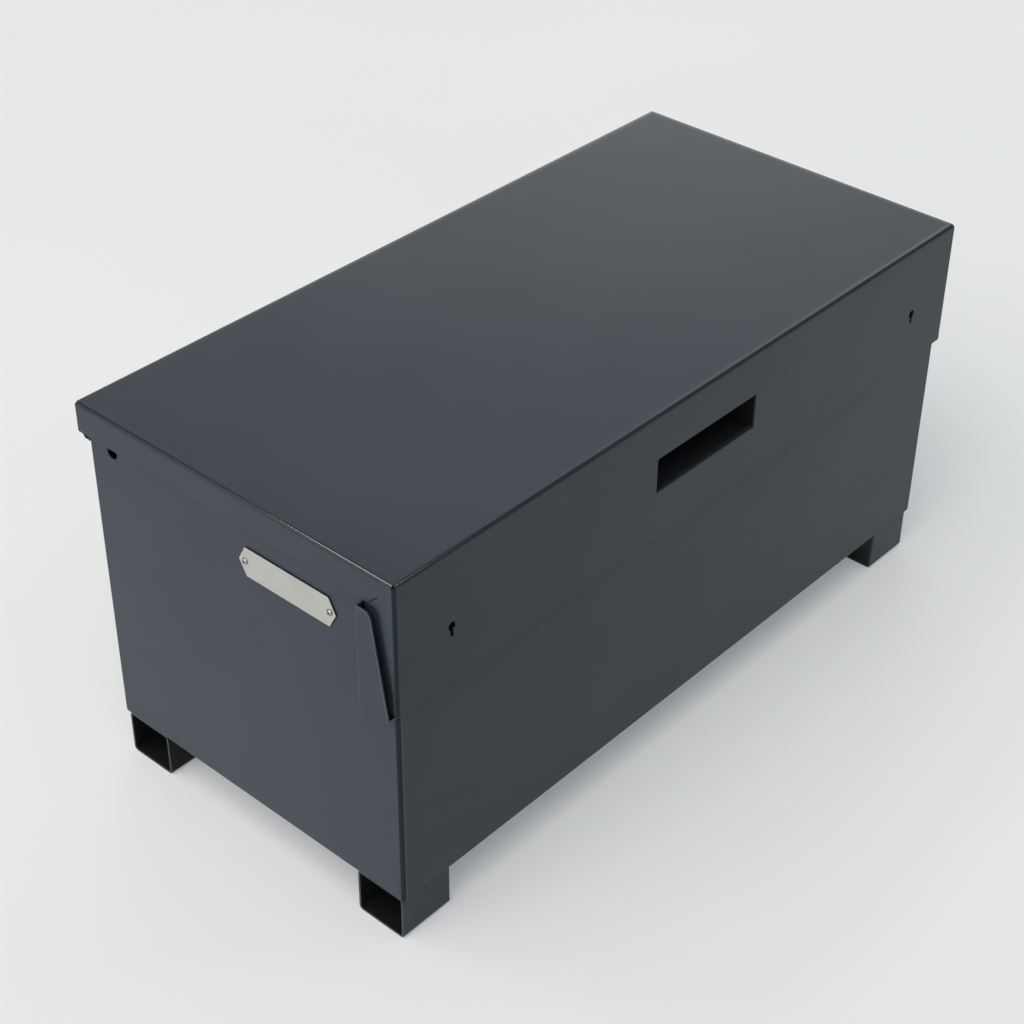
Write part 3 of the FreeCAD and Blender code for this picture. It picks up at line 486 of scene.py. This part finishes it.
# The hinge's knuckles sit in shade, so they get the painted shade: nearly black
KNUCKLE_REACH_MM = 6.8
pin_low, pin_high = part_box("hinge_pin")
pin_middle = (pin_low + pin_high) / 2
for node in ("hinge_body_leaf", "hinge_lid_leaf"):
    leaf = softened(node, SMALL_EDGE_MM)
    leaf.data.materials.append(painted_shade_coat)
    for face in leaf.data.polygons:
        if (face.center - pin_middle).yz.length < KNUCKLE_REACH_MM * MM:
            face.material_index = IN_HOLLOW

# The pull cup and the locks' cases sit deep behind the apron, in shade, so they get the painted
# shade
for node in ("pull_pocket", "lock_case_left", "lock_case_right", "lock_cap_left",
             "lock_cap_right"):
    softened(node, SMALL_EDGE_MM).data.materials[ON_FACE] = painted_shade_coat

# Stitch welds between the feet and the body's bottom bend, two runs on each long side
FOOT_WELD_RUNS_MM = ((9, 33), (56, 80))
FOOT_WELD_IN_MM, FOOT_WELD_DOWN_MM = 2.0, 1.9
for end, sign in ENDS:
    for row, facing in ROWS:
        low, high = box_mm("foot_" + row + "_" + end)
        outer_x = low.x if sign < 0 else high.x
        seam_y = (low.y if facing < 0 else high.y) - facing * FOOT_WELD_IN_MM
        seam_z = high.z - FOOT_WELD_DOWN_MM
        foot_runs = [((outer_x - sign * near, seam_y, seam_z),
                      (outer_x - sign * far, seam_y, seam_z)) for near, far in FOOT_WELD_RUNS_MM]
        weld_stitches("foot_welds_" + row + "_" + end, "body", foot_runs, size_mm=2.5)

# Stitch welds along the body's hinge leaf, and round the feet of the struts' wall brackets
LEAF_WELD_MIDDLES_MM = spaced(-560, 560, 9)
LEAF_WELD_HALF_MM = 15
FILLET_IN_MM = 1.4
BRACKET_WELD_SHORT_MM = 5
low, high = box_mm("hinge_body_leaf")
seam_y = low.y + FILLET_IN_MM
leaf_runs = [((x - LEAF_WELD_HALF_MM, seam_y, low.z), (x + LEAF_WELD_HALF_MM, seam_y, low.z))
             for x in LEAF_WELD_MIDDLES_MM]
weld_stitches("hinge_leaf_welds", "body", leaf_runs, size_mm=1.9)
for end, sign in ENDS:
    low, high = box_mm("strut_wall_bracket_" + end)
    seam_x = (low.x if sign < 0 else high.x) - sign * FILLET_IN_MM
    bracket_runs = [((seam_x, y, low.z + BRACKET_WELD_SHORT_MM),
                     (seam_x, y, high.z - BRACKET_WELD_SHORT_MM)) for y in (low.y, high.y)]
    weld_stitches("strut_bracket_welds_" + end, "body", bracket_runs, size_mm=1.8)

# Spot welds on the ribs' feet and the pull cup's flange, both 2 mm thick, and on the lid's hinge
# leaf. Each row starts and ends a little way in from the flange's ends and lies off its edge.
FLANGE_MM = 2.0
RIB_ROW_IN_MM, RIB_ROW_OFF_EDGE_MM, RIB_ROW_COUNT = 20, 8, 8
for end, _ in ENDS:
    low, high = box_mm("lid_rib_" + end)
    rib_spots = [(x, y, high.z - FLANGE_MM)
                 for x in (low.x + RIB_ROW_OFF_EDGE_MM, high.x - RIB_ROW_OFF_EDGE_MM)
                 for y in spaced(low.y + RIB_ROW_IN_MM, high.y - RIB_ROW_IN_MM, RIB_ROW_COUNT)]
    spot_welds("rib_spot_welds_" + end, "lid", rib_spots, (0, 0, -1))
CUP_ROW_IN_MM, CUP_ROW_OFF_EDGE_MM, CUP_ROW_COUNT = 12, 5.5, 5
low, high = box_mm("pull_pocket")
cup_spots = [(x, low.y + FLANGE_MM, z)
             for z in (low.z + CUP_ROW_OFF_EDGE_MM, high.z - CUP_ROW_OFF_EDGE_MM)
             for x in spaced(low.x + CUP_ROW_IN_MM, high.x - CUP_ROW_IN_MM, CUP_ROW_COUNT)]
spot_welds("pull_cup_spot_welds", "lid", cup_spots, (0, 1, 0), radius_mm=2.6)
LEAF_SPOTS_X_MM = spaced(-580, 580, 17)
LEAF_ROW_OFF_EDGE_MM = 9
low, high = box_mm("hinge_lid_leaf")
leaf_spots = [(x, low.y, high.z - LEAF_ROW_OFF_EDGE_MM) for x in LEAF_SPOTS_X_MM]
spot_welds("hinge_leaf_spot_welds", "lid", leaf_spots, (0, -1, 0))

# Blind rivets: a dome on the plate, with the bore that the snapped mandrel leaves in it. The bore
# and the thin edge of the dome lie in shadow, so they are dark.
RIVET_RADIUS_MM = 5
BORE_REACH_MM, DOME_REACH_MM = 1.35, 4.7
RIVET_PROFILE = [(1.5, 0), (1.5, 1.3), (0.2, 1.4), (0, 1.9), (0.3, 3.2), (1.0, 4.3), (1.8, 4.9),
                 (2.4, 5.0), (2.4, 1.9), (7.4, 1.9), (7.4, 3.2), (8.4, 2.9), (8.6, 0)]
low, high = box_mm("nameplate_rivets")
for row, y in (("front", low.y + RIVET_RADIUS_MM), ("rear", high.y - RIVET_RADIUS_MM)):
    crown = Vector((low.x, y, (low.z + high.z) / 2))
    rivet = turned("nameplate_rivet_" + row, "body", crown, crown + Vector((1, 0, 0)),
                   RIVET_PROFILE, rivet_metal)
    rivet.data.materials.append(painted_shade_coat)
    for face in rivet.data.polygons:
        from_axis = (face.center - crown * MM).yz.length / MM
        if from_axis < BORE_REACH_MM or from_axis > DOME_REACH_MM:
            face.material_index = IN_HOLLOW
    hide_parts("nameplate_rivets")

# Gas struts: the tube's rolled-in ends and crimp, in front of the plain solids
STRUT_FOOT = Vector((568, 226, 462))
STRUT_TOP = Vector((568, 30, 582))
TUBE_PROFILE = [(33, 0), (33, 7.2), (33.5, 8.2), (34.6, 8.8), (36, 9), (43, 9), (44, 8.7),
                (44.6, 8.3), (45.4, 8.3), (46, 8.7), (47, 9), (205.5, 9), (208, 8.7), (210, 7.9),
                (211.3, 6.4), (211.8, 5.4), (211.8, 0)]
for end, sign in ENDS:
    mirror = Vector((sign, 1, 1))
    tube = turned("strut_tube_shell_" + end, "strut_tube_" + end, STRUT_FOOT * mirror,
                  STRUT_TOP * mirror, TUBE_PROFILE, black_enamel, steps=56)
    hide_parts("strut_tube_" + end)

# Hinge pin: its ends are hammered over into low domes, which start 1 mm inside the pin's end, and
# get the painted shade
PIN_DOME_PROFILE = [(0, 0), (0, 3.3), (1.2, 4.3), (1.7, 4.1), (2.3, 3.0), (2.6, 1.5), (2.7, 0)]
low, high = box_mm("hinge_pin")
for end, sign in ENDS:
    pin_end_x = high.x if sign > 0 else low.x
    tip = Vector((pin_end_x - sign, (low.y + high.y) / 2, (low.z + high.z) / 2))
    turned("hinge_pin_dome_" + end, "body", tip, tip + Vector((sign, 0, 0)), PIN_DOME_PROFILE,
           painted_shade_coat, steps=24)

# The lock screws, in millimetres
SCREW_X, SCREW_Z, SCREW_SEAT_Y = (-551, -486, 486, 551), (471, 533), -273
HEAD_RADIUS, HEAD_HEIGHT, HEAD_ROUND, HEAD_SIDES, HEAD_REACH = 3.8, 2.4, 0.9, 24, 4
SOCKET_RADIUS, SOCKET_DEPTH = 1.7, 1.5
SHANK_RADIUS, SHANK_LENGTH, SHANK_MIDDLE = 2, 21, -10.4
FACE_REAR = Matrix.Rotation(-math.pi / 2, 4, "X")


def rearmost(faces):
    return max(faces, key=lambda face: face.calc_center_median().y)


def lock_screw_set():
    """Eight pan-head screws with a hexagon socket, four behind each lock."""
    bm = bmesh.new()
    for x in SCREW_X:
        for z in SCREW_Z:
            stand = Matrix.Translation(Vector((x, SCREW_SEAT_Y, z)) * MM) @ FACE_REAR
            middle = Matrix.Translation((0, 0, HEAD_HEIGHT / 2 * MM))
            made = bmesh.ops.create_cone(bm, cap_ends=True, segments=HEAD_SIDES,
                                         radius1=HEAD_RADIUS * MM, radius2=HEAD_RADIUS * MM,
                                         depth=HEAD_HEIGHT * MM, matrix=stand @ middle)
            caps = {face for vert in made["verts"] for face in vert.link_faces
                    if len(face.verts) > 4}
            bmesh.ops.bevel(bm, geom=list(rearmost(caps).edges), offset=HEAD_ROUND * MM,
                            offset_type="OFFSET", segments=3, profile=0.5, affect="EDGES",
                            clamp_overlap=True, material=-1)
            near = [face for face in bm.faces if len(face.verts) == HEAD_SIDES
                    and (face.calc_center_median() - stand.translation).length < HEAD_REACH * MM]
            crown = rearmost(near)
            crown_y = crown.calc_center_median().y
            crown_edges = list(crown.edges)
            bmesh.ops.delete(bm, geom=[crown], context="FACES_ONLY")
            place = Matrix.Translation((x * MM, crown_y, z * MM)) @ FACE_REAR
            socket = bmesh.ops.create_circle(bm, cap_ends=False, segments=6,
                                             radius=SOCKET_RADIUS * MM, matrix=place)
            socket_edges = list({edge for vert in socket["verts"] for edge in vert.link_edges})
            bmesh.ops.bridge_loops(bm, edges=crown_edges + socket_edges)
            sunk = bmesh.ops.extrude_edge_only(bm, edges=socket_edges)
            floor_verts = [item for item in sunk["geom"] if isinstance(item, bmesh.types.BMVert)]
            floor_edges = [item for item in sunk["geom"] if isinstance(item, bmesh.types.BMEdge)
                           and all(vert in floor_verts for vert in item.verts)]
            bmesh.ops.translate(bm, verts=floor_verts, vec=(0, -SOCKET_DEPTH * MM, 0))
            bmesh.ops.holes_fill(bm, edges=floor_edges, sides=6)
            middle = Matrix.Translation((0, 0, SHANK_MIDDLE * MM))
            bmesh.ops.create_cone(bm, cap_ends=True, segments=16, radius1=SHANK_RADIUS * MM,
                                  radius2=SHANK_RADIUS * MM, depth=SHANK_LENGTH * MM,
                                  matrix=stand @ middle)
    bmesh.ops.recalc_face_normals(bm, faces=bm.faces)
    screws = finished("lock_screw_heads", bm, body_of["lock_screws"], zinc)
    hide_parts("lock_screws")


lock_screw_set()

# Studio: a pale paper floor, wide enough to fill the picture
floor_bm = bmesh.new()
bmesh.ops.create_grid(floor_bm, x_segments=1, y_segments=1, size=40)
floor_mesh = bpy.data.meshes.new("studio_floor")
floor_bm.to_mesh(floor_mesh)
floor_bm.free()
floor = bpy.data.objects.new("studio_floor", floor_mesh)
bpy.context.scene.collection.objects.link(floor)
floor_paper = new_material("pale_studio_paper")
paper_place = object_place(floor_paper)
paper_cloud = add_node(floor_paper, "ShaderNodeTexNoise", [("Vector", paper_place, 0)],
                       [("Scale", blobs_of(900)), ("Detail", 2.0)])
paper_tone = add_node(floor_paper, "ShaderNodeValToRGB", [(0, paper_cloud, 0)],
                      stops=between("#e3e3e1", "#e5e5e2"))
paper_rough = add_node(floor_paper, "ShaderNodeMapRange", [(0, paper_cloud, 0)],
                       [("To Min", 0.9), ("To Max", 0.95)])
paper_bump = add_node(floor_paper, "ShaderNodeBump", [("Height", paper_cloud, 0)],
                      [("Distance", 0.01 * MM)])
surface(floor_paper, paper_tone, paper_rough, paper_bump, specular=0.0)
# The camera sees the paper with a thin cool haze over it, which opens its shadows. The light
# that the paper throws on the box has none of it.
HAZE_SHARE = 0.25
haze = add_node(floor_paper, "ShaderNodeEmission",
                settings=[("Color", linear("#e2e7ee")), ("Strength", 1.0)])
ray = add_node(floor_paper, "ShaderNodeLightPath")
seen = add_node(floor_paper, "ShaderNodeMath",
                [(0, ray, "Is Camera Ray"), (1, ray, "Is Glossy Ray")])
seen = add_node(floor_paper, "ShaderNodeMath", [(0, seen, 0), (1, ray, "Is Transmission Ray")])
share = add_node(floor_paper, "ShaderNodeMath", [(0, seen, 0)], [(1, HAZE_SHARE)],
                 [("operation", "MULTIPLY")])
hazed = add_node(floor_paper, "ShaderNodeMixShader",
                 [(0, share, 0), (1, node_of_type(floor_paper, "BSDF_PRINCIPLED"), 0),
                  (2, haze, 0)])
paper_output = node_of_type(floor_paper, "OUTPUT_MATERIAL")
floor_paper.node_tree.links.new(hazed.outputs[0], paper_output.inputs["Surface"])
floor_mesh.materials.append(floor_paper)

# The studio's air is dim and cool all round, and warmer light swells in it towards three sides
world = bpy.data.worlds.new("studio_air")
bpy.context.scene.world = world
world.use_nodes = True
world.node_tree.nodes.clear()
AIR_TONES = ((0.0, "#949aa4"), (0.25, "#878c96"), (0.50, "#767b83"), (0.75, "#767b83"),
             (1.0, "#adb4c0"))
direction = add_node(world, "ShaderNodeTexCoord")
height = add_node(world, "ShaderNodeSeparateXYZ", [(0, direction, "Generated")])
dim_air = add_node(world, "ShaderNodeValToRGB", [(0, height, "Z")], stops=AIR_TONES)
sky = add_node(world, "ShaderNodeBackground", [("Color", dim_air, 0)], [("Strength", 1.0)])


def glow(towards, tightness, strength, tint):
    """Light with no edge that swells towards one direction, as from a large diffuser."""
    nearness = add_node(world, "ShaderNodeVectorMath", [(0, direction, "Generated")],
                        [(1, Vector(towards).normalized())], [("operation", "DOT_PRODUCT")])
    fall = add_node(world, "ShaderNodeMath", [(0, nearness, "Value")],
                    [(1, tightness), (2, -tightness)], [("operation", "MULTIPLY_ADD")])
    swell = add_node(world, "ShaderNodeMath", [(0, fall, 0)], traits=[("operation", "EXPONENT")])
    power = add_node(world, "ShaderNodeMath", [(0, swell, 0)], [(1, strength)],
                     [("operation", "MULTIPLY")])
    return add_node(world, "ShaderNodeBackground", [("Strength", power, 0)],
                    [("Color", linear(tint))])


# One from the right behind, one from above on the left, one low from the left
for towards, tightness, strength in (((0.782, 0.600, 0.170), 13.7, 2.1),
                                     ((-0.450, -0.120, 0.880), 10.0, 3.1),
                                     ((-0.970, 0.060, 0.200), 7.0, 2.9)):
    lit = glow(towards, tightness, strength, "#fffdf7")
    sky = add_node(world, "ShaderNodeAddShader", [(0, sky, 0), (1, lit, 0)])
add_node(world, "ShaderNodeOutputWorld", [("Surface", sky, 0)])


LIGHTS_AIM = Vector((-0.6, -0.3, 0.6))


def soft_light(name, place, along, width, height, watts):
    """A rectangular softbox that looks at the lid's near corner, with its width along a way."""
    data = bpy.data.lights.new(name, "AREA")
    data.shape = "RECTANGLE"
    data.size = width
    data.size_y = height
    data.energy = watts
    data.color = linear("#ffffff")[:3]
    lamp = bpy.data.objects.new(name, data)
    back = (Vector(place) - LIGHTS_AIM).normalized()
    rise = back.cross(Vector(along)).normalized()
    turn = Matrix((rise.cross(back), rise, back)).transposed().to_4x4()
    lamp.matrix_world = Matrix.Translation(place) @ turn
    bpy.context.scene.collection.objects.link(lamp)


soft_light("rear_strip", (-1.52, 1.89, 3.44), (0.95, 0, 0.3), width=0.9, height=0.42, watts=12)
soft_light("front_softbox", (1.34, -1.85, 3.48), (1, 0, 0), width=0.5, height=0.6, watts=5)

# The camera stands where the photograph's perspective puts it: 48 degrees round, 36 degrees up
CAMERA_AZIMUTH = math.radians(-48.3373)
CAMERA_RISE = math.radians(35.9625)
CAMERA_ROLL = math.radians(0.5016)
CAMERA_SPOT = (-1.94693, -1.6716, 2.11105)
camera_data = bpy.data.cameras.new("camera")
camera_data.sensor_fit = "HORIZONTAL"
camera_data.sensor_width = 36
camera_data.lens = 73.039
camera_data.clip_end = 100
camera = bpy.data.objects.new("camera", camera_data)
backward = Vector((math.sin(CAMERA_AZIMUTH) * math.cos(CAMERA_RISE),
                   -math.cos(CAMERA_AZIMUTH) * math.cos(CAMERA_RISE), math.sin(CAMERA_RISE)))
level_right = (-backward).cross(Vector((0, 0, 1))).normalized()
level_up = backward.cross(level_right)
right = level_right * math.cos(CAMERA_ROLL) + level_up * math.sin(CAMERA_ROLL)
up = level_up * math.cos(CAMERA_ROLL) - level_right * math.sin(CAMERA_ROLL)
turn = Matrix((right, up, backward)).transposed().to_4x4()
camera.matrix_world = Matrix.Translation(CAMERA_SPOT) @ turn
bpy.context.scene.collection.objects.link(camera)
bpy.context.scene.camera = camera

bpy.context.scene.view_settings.view_transform = "Standard"
